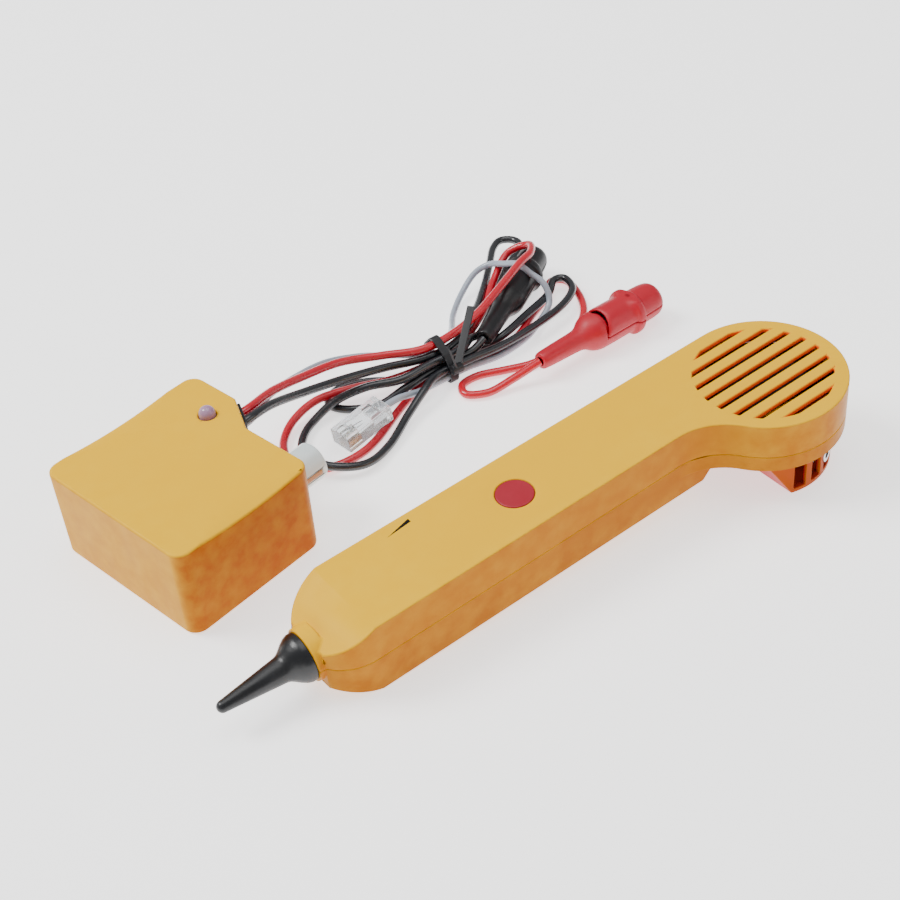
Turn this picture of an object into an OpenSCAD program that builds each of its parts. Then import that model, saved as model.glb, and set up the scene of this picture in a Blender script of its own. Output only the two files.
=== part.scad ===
// Tone probe kit: a tone generator with test leads, and an amplifier probe lying in front of it.
// X runs along the probe from its tip to its head, Z is up, and both units stand on z = 0.

/* [Probe handle] */
// Length of the probe from the end of its tip to the far side of its head
probe_l = 240; // [232:1:250]
// Width of the handle
handle_w = 33; // [32:0.5:35]
// Height of the handle
handle_h = 27; // [27:0.5:29]
// Wall of the probe shells
shell_t = 2; // [1.8:0.1:2.2]
// Distance from the centre of the head to the crease where the nose starts to slope
crease_x = 164; // [162:1:168]
// Radius of the fillet between the handle and the head
neck_r = 22; // [18:1:24]

/* [Probe head] */
// Radius of the head
head_r = 28.5; // [28:0.5:30]
// Height of the head's underside above the handle's underside
head_z = 7.5; // [7:0.5:8.5]
// Radius of the round field of grille slots
grille_r = 23.6; // [22:0.2:24]
// Pitch of the eight grille slots
slot_pitch = 6.2; // [6:0.1:6.3]
// Width of one grille slot
slot_w = 1.9; // [1.4:0.1:2.4]
// Radius of the sound drum under the head
drum_r = 24.5; // [24:0.5:25]
// Depth of the drum below the handle's underside
drum_drop = 8.5; // [7:0.5:9]

/* [Probe controls] */
// Distance from the centre of the head to the push button
button_x = 98.3; // [96:0.1:100]
// Radius of the push button
button_r = 6.4; // [6:0.1:7]
// Travel of the push button
button_travel = 1.2; // [0.8:0.1:1.4]
// Distance from the centre of the head to the volume wheel
wheel_x = 136; // [132:1:140]
// Radius of the volume wheel
wheel_r = 9; // [8.5:0.1:9.5]
// Bore radius of the earphone jack
jack_bore_r = 1.8; // [1.75:0.01:1.85]

/* [Generator] */
// Length of the generator case
gen_l = 65; // [64:0.5:68]
// Width of the generator case
gen_w = 68; // [66:0.5:72]
// Height of the generator case
gen_h = 34.5; // [34:0.5:38]
// Radius of the case's upright corners
gen_corner_r = 5; // [4:0.5:7]
// Wall of the generator case
gen_t = 2.2; // [2:0.1:2.6]
// Depth of the recess that holds the selector knob
recess_d = 8.5; // [8:0.5:9.5]
// Radius of the selector knob
knob_r = 6.8; // [6:0.1:7.2]
// Length of the selector knob
knob_l = 12.5; // [10:0.5:14]
// Heading of the generator about the vertical
gen_yaw = 11.5; // [11.5:0.5:11.5]

/* [Leads] */
// Diameter of the two test leads
lead_d = 3.2; // [3:0.1:3.2]
// Diameter of the line cord
cord_d = 2.6; // [2.4:0.1:2.6]
// How far the jaw of a clip opens, in degrees
clip_opens = 20; // [10:1:20]

/* [Hidden] */
$fn = 64;

// Placement of the two units on the table
gen_x = -82.13;
gen_y = 39.95;
probe_x = 92.07;
probe_y = -38.35;

half_w = handle_w / 2;
head_y = half_w - head_r;
split_z = handle_h / 2;
nose_x = -crease_x - 1;
flange_x = nose_x - 14;
flange_r = 9;
tip_x = head_r - probe_l;
neck_x = -sqrt(pow(head_r + neck_r, 2) - pow(half_w + neck_r + head_y, 2));
block_end_x = -24;
ramp_x = -8;
rest_tilt = atan(drum_drop / (ramp_x - nose_x));
nose_slope = atan(7.5 / 15);
keel_slope = atan(4.5 / 14);
run = 0.06;

// 9 V battery
cell = [48.5, 26.5, 17.5];
probe_cell_x = -162;
cell_z = 2.6;
board_z = cell_z + cell[2] + 0.3;
board_t = 1;
door_w = 27;
door_back_x = -108;
door_t = 1.8;
door_gap = 0.3;
screw_at = [[-103, 11], [-103, -11], [-42, 11], [-42, -11]];

window_n = 13;
window_pitch = 17;
jack_a = -68;
jack_z = -1;

// Probe's own frame: x = 0 at the centre of the head, y = 0 on the handle's axis, z = 0 at its underside.
module at_probe()
    translate([probe_x, probe_y, 0])
        translate([nose_x, 0, 0]) rotate([0, -rest_tilt, 0]) translate([-nose_x, 0, 0]) children();

module at_generator() translate([gen_x, gen_y, 0]) rotate([0, 0, gen_yaw]) children();

// Plan of the handle and its round nose, drawn in from the outside by in
module handle_plan(in, end_x = 0) {
    translate([nose_x, in - half_w]) square([end_x - nose_x, handle_w - 2 * in]);
    translate([nose_x, 0]) circle(half_w - in);
}

module probe_plan(in) {
    handle_plan(in);
    translate([0, head_y]) circle(head_r - in, $fn = 96);
    difference() {
        polygon([[neck_x, 0], [0, 0], [0, head_y], [neck_x, -half_w - neck_r]]);
        translate([neck_x, -half_w - neck_r]) circle(neck_r + in);
    }
}

// Sloped facet on top of the nose and the rising keel under it
module nose_cuts(in) {
    translate([-crease_x, -50, handle_h - in]) rotate([0, -nose_slope, 0])
        translate([-60, 0, 0]) cube([60, 100, 40]);
    translate([nose_x, -50, in]) rotate([0, keel_slope, 0]) translate([-60, 0, -40]) cube([60, 100, 40]);
    translate([flange_x - 40 + in, -50, -20]) cube([40, 100, 80]);
}

module probe_outer() {
    difference() {
        union() {
            translate([0, 0, head_z]) linear_extrude(handle_h - head_z) probe_plan(0);
            difference() {
                linear_extrude(handle_h - 1) handle_plan(0, block_end_x);
                translate([block_end_x - head_z, -50, 0]) rotate([0, -45, 0])
                    translate([0, 0, -20]) cube([20, 100, 20]);
            }
        }
        nose_cuts(0);
    }
    translate([flange_x - 2, 0, split_z]) rotate([0, 90, 0]) cylinder(h = 5, r = flange_r);
}

module probe_inner() {
    difference() {
        union() {
            translate([0, 0, head_z + shell_t]) linear_extrude(handle_h - head_z - 2 * shell_t)
                probe_plan(shell_t);
            translate([0, 0, shell_t]) linear_extrude(10) handle_plan(shell_t, block_end_x - 3);
        }
        nose_cuts(shell_t);
    }
}

module below_split(z) translate([-260, -80, z - 60]) cube([330, 160, 60]);

module probe_upper_shell() color([0.96, 0.8, 0.2]) at_probe() {
    difference() {
        probe_outer();
        difference() {
            probe_inner();
            for (p = screw_at) translate([p[0], p[1], split_z]) cylinder(h = 20, r = 3);
        }
        below_split(split_z);
        // Grille slots
        for (i = [0:7]) intersection() {
            translate([-30, head_y + (i - 3.5) * slot_pitch - slot_w / 2, handle_h - 4]) cube([60, slot_w, 8]);
            translate([0, head_y, handle_h - 5]) cylinder(h = 10, r = grille_r);
        }
        // Button hole in its shallow dish
        translate([-button_x, 0, handle_h - 5]) cylinder(h = 10, r = button_r + run);
        translate([-button_x, 0, handle_h + 119.4]) sphere(120, $fn = 96);
        // Slot for the rim of the volume wheel
        translate([-wheel_x - 7.2, 8, 21.1]) cube([14.4, 20, 3.9 - 0.2]);
        // Socket for the tip, and the screws' pilot holes
        translate([flange_x - 5, 0, split_z]) rotate([0, 90, 0]) cylinder(h = 20, r = 3.05);
        for (p = screw_at) translate([p[0], p[1], split_z - 1]) cylinder(h = 9, r = 1.25);
    }
}

module probe_lower_shell() color([0.93, 0.72, 0.17]) at_probe() {
    difference() {
        intersection() {
            probe_outer();
            below_split(split_z);
        }
        difference() {
            probe_inner();
            for (p = screw_at) translate([p[0], p[1], 0]) cylinder(h = split_z, r = 3.6);
        }
        translate([flange_x - 5, 0, split_z]) rotate([0, 90, 0]) cylinder(h = 20, r = 3.05);
        // Opening for the battery door, which runs out under the nose
        translate([-200, -door_w / 2 - 0.1, -1]) cube([200 + door_back_x, door_w + 0.2, 1 + door_gap + door_t + 0.1]);
        // Round opening that lets sound into the drum
        translate([0, head_y, 0]) cylinder(h = head_z + shell_t + 1, r = drum_r - 2.4);
        for (p = screw_at) translate([p[0], p[1], -1]) {
            cylinder(h = 20, r = 1.4);
            cylinder(h = 8, r = 2.6);
        }
    }
}

module probe_battery_door() color([0.93, 0.7, 0.16]) at_probe() difference() {
    intersection() {
        translate([flange_x, -door_w / 2, door_gap]) cube([door_back_x - 0.1 - flange_x, door_w, door_t]);
        linear_extrude(5) handle_plan(0.2, block_end_x);
    }
    nose_cuts(0.2);
    // Thumb grip
    for (i = [0:4]) translate([door_back_x - 8 - 2 * i, -8, door_gap - 0.5]) cube([1, 16, 1]);
}

module battery_9v() {
    cube(cell);
    translate([cell[0], cell[1] / 2 - 6.35, cell[2] / 2]) rotate([0, 90, 0]) cylinder(h = 2.2, r = 3);
    translate([cell[0], cell[1] / 2 + 6.35, cell[2] / 2]) rotate([0, 90, 0]) cylinder(h = 2.2, r = 3.8);
}

module battery_snap() difference() {
    translate([cell[0] + 0.1, 1.5, 2]) cube([4, cell[1] - 3, cell[2] - 4]);
    translate([cell[0] - 1, cell[1] / 2 - 6.35, cell[2] / 2]) rotate([0, 90, 0]) cylinder(h = 3.3, r = 3.05);
    translate([cell[0] - 1, cell[1] / 2 + 6.35, cell[2] / 2]) rotate([0, 90, 0]) cylinder(h = 3.3, r = 3.85);
}

module probe_battery() color([0.2, 0.25, 0.4]) at_probe()
    translate([probe_cell_x, -cell[1] / 2, cell_z]) battery_9v();

module probe_battery_snap() color([0.1, 0.1, 0.1]) at_probe()
    translate([probe_cell_x, -cell[1] / 2, cell_z]) battery_snap();

module probe_board() color([0.1, 0.4, 0.2]) at_probe() difference() {
    translate([-158, -12.5, board_z]) cube([122, 25, board_t]);
    for (p = screw_at) translate([p[0], p[1], board_z - 1]) cylinder(h = 4, r = 3.3);
}

// Push switch with its plunger under the button
module push_switch() color([0.15, 0.15, 0.17]) at_probe()
    translate([-button_x - 3, -3, board_z + board_t]) cube([6, 6, 1.2]);

module power_button() color([0.72, 0.08, 0.1]) at_probe() translate([-button_x, 0, 0]) {
    translate([0, 0, handle_h - 3]) cylinder(h = 2.6, r = button_r);
    translate([0, 0, board_z + board_t + 1.2 + button_travel + 0.1])
        cylinder(h = handle_h - 3 - (board_z + board_t + 1.3 + button_travel) + 0.1, r = 1.6);
}

module volume_wheel() color([0.1, 0.1, 0.1]) at_probe()
    translate([-wheel_x, half_w + 1.4 - wheel_r, board_z + board_t + 0.2]) difference() {
        cylinder(h = 3, r = wheel_r);
        for (i = [0:23]) rotate([0, 0, i * 15]) translate([wheel_r, 0, -1]) cylinder(h = 5, r = 0.5, $fn = 16);
        translate([0, 0, -1]) cylinder(h = 3.2, r = 2.55);
    }

module volume_pot() color([0.5, 0.5, 0.55]) at_probe()
    translate([-wheel_x, half_w + 1.4 - wheel_r, board_z + board_t]) cylinder(h = 2.2, r = 2.5);

module at_head(z) at_probe() translate([0, head_y, z]) children();

module speaker_frame() color([0.55, 0.56, 0.6]) at_head(14) rotate_extrude($fn = 96)
    polygon([[9.2, 0], [12, 0], [21, 8], [22.4, 8], [22.4, 10.4], [20, 10.4], [11.4, 1.2], [9.2, 1.2]]);

module speaker_magnet() color([0.3, 0.3, 0.32]) at_head(14) union() {
    translate([0, 0, -4.4]) cylinder(h = 4.4, r = 10);
    cylinder(h = 2, r = 4);
}

module speaker_cone() color([0.12, 0.12, 0.13]) at_head(14) rotate_extrude($fn = 96)
    polygon([[0, 3.6], [5, 2.4], [19.6, 10], [19.6, 10.4], [5, 3.2], [0, 4.6]]);

// Drum under the head, cut by a ramp on the side of the handle
module drum_body(in) intersection() {
    translate([0, head_y, in - drum_drop]) cylinder(h = drum_drop + head_z, r = drum_r - in, $fn = 96);
    translate([ramp_x + in * 1.5, -80, -drum_drop]) rotate([0, -atan(9 / (drum_drop + head_z)), 0])
        translate([0, 0, -20]) cube([80, 160, 80]);
}

module sound_drum() color([0.9, 0.5, 0.14]) at_probe() {
    difference() {
        drum_body(0);
        drum_body(1.8);
        for (i = [0:window_n - 1]) translate([0, head_y, 2 - drum_drop])
            rotate([0, 0, (i - (window_n - 1) / 2) * window_pitch]) translate([18, -2.3, 0])
                cube([12, 4.6, drum_drop + head_z - 4]);
        translate([0, head_y, jack_z]) rotate([0, 90, jack_a]) cylinder(h = 40, r = 3.15);
    }
}

// Earphone jack: threaded bushing through the drum wall and a square body behind it
module earphone_jack() color([0.75, 0.76, 0.78]) at_probe()
    translate([0, head_y, jack_z]) rotate([0, 0, jack_a]) difference() {
        union() {
            translate([drum_r - 3.5, 0, 0]) rotate([0, 90, 0]) cylinder(h = 3.6, r = 3.1);
            translate([drum_r - 14.5, -3.5, -3.5]) cube([11.2, 7, 7]);
        }
        translate([drum_r - 13.5, 0, 0]) rotate([0, 90, 0]) cylinder(h = 20, r = jack_bore_r);
    }

module probe_tip() color([0.08, 0.08, 0.09]) at_probe() translate([flange_x - 2, 0, split_z])
    rotate([0, -90, 0]) difference() {
        tip_reach = flange_x - 2 - tip_x;
        rotate_extrude() union() {
            polygon([[0, 0.1], [8.2, 0.1], [8.2, 1.6], [7.7, 3], [6.6, 4.7], [5.4, 6.2], [4.6, 7.4],
                [4.3, 8.4], [2, tip_reach - 2], [0, tip_reach - 2]]);
            translate([0, tip_reach - 2]) intersection() {
                circle(2);
                square(4);
            }
        }
        translate([0, 0, -1]) cylinder(h = tip_reach - 3, r = 1.05);
    }

module antenna_rod() color([0.7, 0.7, 0.72]) at_probe() translate([0, 0, split_z]) rotate([0, 90, 0]) {
    translate([0, 0, tip_x + 5]) cylinder(h = flange_x + 3 - tip_x - 5, r = 1);
    translate([0, 0, flange_x - 1.9]) cylinder(h = 12, r = 3);
}

module probe_screws() color([0.6, 0.6, 0.62]) at_probe() for (p = screw_at) translate([p[0], p[1], 0]) {
    translate([0, 0, 5]) difference() {
        cylinder(h = 2, r = 2.4);
        translate([-0.3, -2, -0.5]) cube([0.6, 4, 1.2]);
        translate([-2, -0.3, -0.5]) cube([4, 0.6, 1.2]);
    }
    translate([0, 0, 6.9]) cylinder(h = 13, r = 1.2);
}

// Generator's own frame: x = 0, y = 0 at the middle of the case, knob and leads on +X
recess_x = gen_l / 2 - recess_d;
step_lo = [recess_x, -3];
step_hi = [gen_l / 2, 12];
knob_y = -20;
knob_z = 20.5;
led_at = [20.5, 12.8];
gen_board_z = 24.5;
gen_cell = [2.5, -25, 3.4];
exit_z = 29.5;
gen_screw_at = [[-26.5, 28], [-26.5, -28], [26.5, 28], [6, -28]];
step_shift = tan(atan((step_hi[0] - step_lo[0]) / (step_hi[1] - step_lo[1])) / 2);
base_gap = 0.15;
bevel_r = 190;

module gen_plan(in) {
    x0 = gen_l / 2 - in;
    y0 = gen_w / 2 - in;
    r = gen_corner_r - in;
    xr = recess_x - in;
    difference() {
        union() {
            translate([-x0, r - y0]) square([2 * x0, 2 * (y0 - r)]);
            translate([r - x0, -y0]) square([x0 - r + xr - r, 2 * y0]);
            translate([-x0 + 2 * r, 0]) square([2 * x0 - 3 * r, y0]);
            for (p = [[r - x0, y0 - r], [r - x0, r - y0], [x0 - r, y0 - r], [xr - r, r - y0]])
                translate(p) circle(r);
        }
        translate([-in, step_shift * in]) polygon([step_lo + [0, -80], step_lo, step_hi, step_hi + [40, 0], step_hi + [40, -92]]);
        translate([xr - r, -y0 - 1]) difference() {
            square([r + 40, r + 1]);
            translate([0, r + 1]) circle(r);
        }
    }
}

// Shallow rounded bevel along a side edge of the top face
module side_bevel(side) translate([-2, side * gen_w / 2, gen_h - 1.4])
    rotate([-side * 10.5, 0, 0]) translate([0, -side * 30, bevel_r]) rotate([-side * 90, 0, 0])
        cylinder(h = 60, r = bevel_r, $fn = 180);

module generator_case() color([0.95, 0.8, 0.24]) at_generator() difference() {
    linear_extrude(gen_h) gen_plan(0);
    difference() {
        translate([0, 0, -1]) linear_extrude(gen_h - gen_t + 1) gen_plan(gen_t);
        for (p = gen_screw_at) translate([p[0], p[1], 2.4]) cylinder(h = 40, r = 3);
    }
    for (p = gen_screw_at) translate([p[0], p[1], 0]) cylinder(h = 12, r = 1.25);
    side_bevel(-1);
    side_bevel(1);
    translate([led_at[0], led_at[1], gen_h - 6]) cylinder(h = 10, r = 3.05);
    translate([recess_x - 6, knob_y, knob_z]) rotate([0, 90, 0]) cylinder(h = 20, r = 3.4);
    // Slot for the lead grommet
    translate([20, 1.9, exit_z - 5.6]) cube([20, 10, 8]);
}

module generator_base() color([0.85, 0.66, 0.2]) at_generator() difference() {
    translate([0, 0, 0.2]) linear_extrude(2.1) gen_plan(gen_t + base_gap);
    for (p = gen_screw_at) translate([p[0], p[1], -1]) {
        cylinder(h = 10, r = 1.4);
        cylinder(h = 2.1, r = 2.6);
    }
}

module generator_screws() color([0.6, 0.6, 0.62]) at_generator()
    for (p = gen_screw_at) translate([p[0], p[1], 0]) {
        translate([0, 0, 0.3]) difference() {
            cylinder(h = 0.8, r = 2.4);
            translate([-0.3, -2, -0.5]) cube([0.6, 4, 0.9]);
            translate([-2, -0.3, -0.5]) cube([4, 0.6, 0.9]);
        }
        translate([0, 0, 1]) cylinder(h = 10, r = 1.2);
    }

module generator_battery() color([0.2, 0.25, 0.4]) at_generator()
    translate(gen_cell) rotate([0, 0, 90]) battery_9v();

module generator_battery_snap() color([0.1, 0.1, 0.1]) at_generator()
    translate(gen_cell) rotate([0, 0, 90]) battery_snap();

module generator_board() color([0.1, 0.4, 0.2]) at_generator() difference() {
    translate([-28, -26, gen_board_z]) cube([48, 56, 1.4]);
    for (p = gen_screw_at) translate([p[0], p[1], gen_board_z - 1]) cylinder(h = 4, r = 3.4);
    translate([10, knob_y - 8, gen_board_z - 1]) cube([20, 16, 4]);
}

module generator_led() color([0.72, 0.6, 0.75]) at_generator() translate([led_at[0], led_at[1], 0]) {
    translate([0, 0, gen_h - 4.5]) cylinder(h = 4.8, r = 2.95);
    translate([0, 0, gen_h + 0.3]) difference() {
        sphere(2.95);
        translate([-5, -5, -10]) cube([10, 10, 10]);
    }
    for (s = [-1.27, 1.27]) translate([s, 0, gen_board_z + 3]) cylinder(h = gen_h - 7.4 - gen_board_z, r = 0.3, $fn = 16);
    translate([0, 0, gen_board_z + 2.6]) cylinder(h = 0.6, r = 2.4);
}

module rotary_switch() color([0.2, 0.2, 0.22]) at_generator() difference() {
    translate([recess_x - gen_t - 9.2, knob_y - 6.5, knob_z - 6.5]) cube([9, 13, 13]);
    translate([recess_x - gen_t - 6, knob_y, knob_z]) rotate([0, 90, 0]) cylinder(h = 20, r = 3.06);
}

module selector_knob() color([0.85, 0.88, 0.88]) at_generator() translate([0, knob_y, knob_z]) rotate([0, 90, 0]) {
    difference() {
        translate([0, 0, recess_x + 0.3]) cylinder(h = knob_l, r = knob_r, $fn = 96);
        translate([0, 0, recess_x - 1]) intersection() {
            translate([-1, -knob_r - 1, 0]) cube([2, knob_r + 1, knob_l - 1]);
            difference() {
                cylinder(h = knob_l, r = knob_r + 1);
                cylinder(h = knob_l, r = knob_r - 0.8);
            }
        }
    }
    translate([0, 0, recess_x - gen_t - 5.8]) cylinder(h = gen_t + 6.3, r = 3);
}

module knob_pointer() color([0.62, 0.4, 0.24]) at_generator() translate([0, knob_y, knob_z])
    rotate([0, 90, 0]) translate([0, 0, recess_x + 0.4]) intersection() {
        translate([-0.9, -knob_r - 1, 0]) cube([1.8, knob_r + 1, knob_l - 2.6]);
        difference() {
            cylinder(h = knob_l, r = knob_r, $fn = 96);
            cylinder(h = knob_l, r = knob_r - 0.75);
        }
    }

module lead_grommet() color([0.1, 0.1, 0.1]) at_generator() difference() {
    intersection() {
        translate([20, 2, exit_z - 5.5]) cube([20, 9.8, 7.8]);
        linear_extrude(gen_h) difference() {
            translate([0.9, -0.9]) gen_plan(0);
            gen_plan(gen_t + 1.2);
        }
    }
    for (p = [[9.4, exit_z - 0.2], [4.8, exit_z - 0.2]]) translate([10, p[0], p[1]]) rotate([0, 90, 0])
        cylinder(h = 40, r = lead_r + 0.02);
    translate([10, 7.1, exit_z - 3.5]) rotate([0, 90, 0]) cylinder(h = 40, r = cord_r + 0.02);
}

// Leads: hand-set points along each cord, from its exit through the tied hank to what is on its end
// Black lead, from its exit to its clip
black_route = [
    [-58, 49.9, 29.3], [-55.6, 50.4, 29.3], [-50, 51.6, 29.3], [-40, 56, 26.5], [-25, 62, 20],
    [-6, 66, 14], [12, 65, 11], [28, 61.5, 9.4], [42, 61.5, 9.4], [57, 70, 9], [75, 86, 5.6],
    [90, 100.5, 5], [99, 109.5, 5], [105.5, 112.5, 5], [110, 108.5, 5], [107.5, 102.5, 5],
    [92.5, 94.5, 2.5], [76.5, 81, 1.7], [59, 66.5, 4.2], [50, 61.5, 8], [42, 57, 9.4], [28, 57, 9.4],
    [14, 57, 9], [2, 63, 8], [-10, 67, 4.8], [-22, 65, 1.7], [-31, 57, 1.7], [-34, 47, 4.5],
    [-31, 37, 5], [-20, 32, 3], [-7, 36, 1.7], [8, 44.5, 3.2], [20, 50, 5.8], [28, 53.5, 6],
    [42, 53.5, 6], [58, 53, 5.2], [76, 54.5, 5.2], [93, 58, 5.2], [104, 64, 5.2], [107, 72, 5.2],
    [102.5, 74, 5.2], [94.5, 67.8, 5.2], [81, 63.5, 5], [64, 59.5, 3.7], [54, 61.5, 1.7], [42, 61, 2.6],
    [28, 61, 2.6], [19, 65, 1.7], [8, 73, 1.7], [-3, 76, 1.7], [-10, 71, 1.7], [-7, 64, 1.7],
    [3, 58, 1.7], [15, 56, 5.1], [28, 57, 6], [42, 57, 6], [48, 57, 6.2], [54, 58, 8]
];
// Red lead, from its exit to its clip
red_route = [
    [-56.4, 54.6, 29.3], [-54, 55.1, 29.3], [-48, 56.5, 29.3], [-36, 63, 26], [-19, 70, 20],
    [-2, 73, 16], [14, 69, 13.5], [28, 63, 12.8], [42, 63, 12.8], [57, 65.5, 14.5], [74, 71.5, 17],
    [87, 76.5, 19], [96, 80.5, 18.5], [101, 88, 16.5], [94.5, 94, 12], [83, 88.5, 6.8], [70, 78, 5.1],
    [56, 68.5, 5.5], [42, 61, 6], [28, 61, 6], [14, 64, 5], [0, 69, 5.1], [-14, 72, 5.1], [-26, 70, 3],
    [-35, 63, 1.7], [-39, 53, 1.7], [-36.5, 44, 1.7], [-28, 39.5, 1.7], [-18, 39, 1.7], [-8, 42, 1.7],
    [8, 50.5, 1.7], [20, 56, 1.7], [28, 57, 2.6], [42, 57, 2.6], [57, 55.5, 1.7], [70, 57.5, 1.7],
    [83, 64.5, 1.7], [96, 70.8, 1.7], [104, 78, 1.7], [109.5, 75, 1.7], [108, 66, 1.7], [103, 56, 1.7],
    [96, 49, 1.7], [86, 43, 1.7], [74, 40, 1.7], [63, 40, 1.7], [53, 43.5, 1.7], [43, 47.5, 1.7],
    [35, 47, 1.7], [32.5, 41.5, 1.7], [39, 37, 1.7], [50, 35, 4], [61, 32.5, 8]
];
// Line cord, from its exit to the modular plug
line_route = [
    [-57.2, 52.3, 26], [-54.8, 52.8, 26], [-48, 55.5, 25.6], [-36, 65.5, 22.8], [-20, 74, 18],
    [-4, 80, 13], [10, 79, 9.5], [20, 72, 9], [28, 66, 9.4], [42, 66, 9.2], [51, 75, 4.5], [60, 86, 2],
    [71, 94.5, 3], [80, 97.5, 7], [86, 95, 10], [88, 87.5, 13], [89, 80, 16], [91, 74.5, 13.5],
    [93, 68.5, 10.5], [91.5, 63.5, 5], [84, 60, 1.7], [72, 54.5, 1.7], [57, 52.3, 1.7], [42, 53.5, 2.6],
    [28, 53.5, 2.6], [19, 52.5, 3.6], [9, 51.5, 6.2], [1, 50, 7]
];
lead_r = lead_d / 2;
cord_r = cord_d / 2;
black_clip_at = [54, 58, 8];
black_clip_yaw = 31.5;
red_clip_at = [61, 32.5, 8];
red_clip_yaw = 3;
rings_per_point = 1.5;
cord_sides = 8;

// Point at t along a smooth curve through the points p, kept just above the table
function along(p, t, r) = let(
    n = len(p) - 1, i = min(floor(t), n - 1), u = t - i, b = p[i], c = p[i + 1],
    a = i > 0 ? p[i - 1] : 2 * b - c, d = i + 2 <= n ? p[i + 2] : 2 * c - b,
    q = 0.5 * (2 * b + (c - a) * u + (2 * a - 5 * b + 4 * c - d) * u * u
        + (3 * b - a - 3 * c + d) * u * u * u)
) [q[0], q[1], max(q[2], r + 0.05)];

function unit(v) = v / norm(v);

function cord_ring(p, t, r) = let(
    n = len(p) - 1, q = along(p, t, r),
    f = unit(along(p, min(t + 0.02, n), r) - along(p, max(t - 0.02, 0), r)),
    s = unit(cross(f, [0, 0, 1])), w = cross(s, f)
) [for (j = [0:cord_sides - 1]) let(a = 360 * (j + 0.5) / cord_sides) q + r * (cos(a) * s + sin(a) * w)];

module cord_tube(p, r) {
    n = ceil((len(p) - 1) * rings_per_point);
    m = cord_sides;
    polyhedron(
        points = [for (k = [0:n]) each cord_ring(p, k * (len(p) - 1) / n, r)],
        faces = concat(
            [[for (j = [0:m - 1]) j]],
            [[for (j = [0:m - 1]) n * m + m - 1 - j]],
            [for (k = [0:n - 1], j = [0:m - 1]) [k * m + j, (k + 1) * m + j, k * m + (j + 1) % m]],
            [for (k = [0:n - 1], j = [0:m - 1])
                [k * m + (j + 1) % m, (k + 1) * m + j, (k + 1) * m + (j + 1) % m]]
        )
    );
}

module black_lead() color([0.06, 0.06, 0.07]) cord_tube(black_route, lead_r);
module red_lead() color([0.8, 0.06, 0.12]) cord_tube(red_route, lead_r);
module line_cord() color([0.6, 0.63, 0.68]) cord_tube(line_route, cord_r);

// Clip's own frame: x = 0 at the end of its tail, +X to its nose, z = 0 on its axis
clip_pin_x = 28;
clip_flat = 7.8;
red_stout = 1.14;
clip_end = 62;

// k makes the barrel stouter than the black clip's
module clip_form(k) intersection() {
    rotate([90, 0, 90]) rotate_extrude($fn = 64) polygon([[0, 0], [3.2, 0], [3.9, 4], [4.2, 20],
        [5.4 * k, 23.5], [6.8 * k, 26.5], [6.8 * k, 44], [8.3 * k, 45], [8.3 * k, 48], [6.5 * k, 49],
        [6.3 * k, 57], [5.6 * k, 60], [4, 61.6], [0, clip_end]]);
    translate([-1, -20, -clip_flat]) cube([clip_end + 2, 40, 2 * clip_flat]);
}

module clip_hollow() {
    translate([24.8, -4.8, -3.2]) cube([7, 9.6, 6.4]);
    translate([31, -3, -3.2]) cube([clip_end - 33.6, 6, 6.4]);
}

// What the upper half covers, with a wedge left free behind it so that it can open
module upper_half(gap) translate([0, 20, 0]) rotate([90, 0, 0]) linear_extrude(40)
    polygon([[clip_pin_x + gap, gap], [clip_end + 2, gap], [clip_end + 2, 20],
        [clip_pin_x + gap + 20 * tan(clip_opens + 2), 20]]);

module boot_lower(k) difference() {
    clip_form(k);
    translate([clip_pin_x, -20, -0.1]) cube([clip_end, 40, 40]);
    clip_hollow();
}

module boot_upper(k) difference() {
    intersection() {
        clip_form(k);
        upper_half(0.2);
    }
    clip_hollow();
}

module jaw_lower() difference() {
    union() {
        translate([clip_pin_x + 3, -2.5, -2.8]) cube([clip_end - clip_pin_x - 6, 5, 1]);
        translate([clip_pin_x - 2, -3.4, -2.8]) cube([5.2, 6.8, 1]);
        for (y = [-3.4, 2.6]) translate([clip_pin_x - 2, y, -2.8]) cube([3.6, 0.8, 4.6]);
        // Teeth
        for (i = [0:4]) translate([clip_end - 6 - 2.4 * i, 0, -2]) rotate([0, 45, 0]) cube([1.2, 4, 1.2], center = true);
    }
    translate([clip_pin_x, -6, 0]) rotate([-90, 0, 0]) cylinder(h = 12, r = 0.95, $fn = 32);
}

module jaw_upper() difference() {
    union() {
        translate([clip_pin_x + 3, -2.5, 1.8]) cube([clip_end - clip_pin_x - 6, 5, 1]);
        translate([clip_pin_x + 1.9, -4.4, 1.8]) cube([1.3, 8.8, 1]);
        for (y = [-4.4, 3.6]) translate([clip_pin_x - 1.4, y, -1.6]) cube([4.6, 0.8, 4.4]);
        for (i = [0:4]) translate([clip_end - 7.2 - 2.4 * i, 0, 2]) rotate([0, 45, 0]) cube([1.2, 4, 1.2], center = true);
    }
    translate([clip_pin_x, -6, 0]) rotate([-90, 0, 0]) cylinder(h = 12, r = 0.95, $fn = 32);
}

module clip_pin() translate([clip_pin_x, -4.5, 0]) rotate([-90, 0, 0]) cylinder(h = 9, r = 0.88, $fn = 32);

// Torsion spring around the pin, drawn as its outer sleeve
module clip_spring() translate([clip_pin_x, -2.3, 0]) rotate([-90, 0, 0]) difference() {
    cylinder(h = 4.6, r = 1.6, $fn = 32);
    translate([0, 0, -1]) cylinder(h = 7, r = 0.96, $fn = 32);
}

// The black clip lies with its moving half down, because the loops of the hank cross over it
module at_black_clip() translate(black_clip_at) rotate([0, 0, black_clip_yaw]) rotate([180, 0, 0]) children();
module at_red_clip() translate(red_clip_at) rotate([0, 0, red_clip_yaw]) children();

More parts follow.
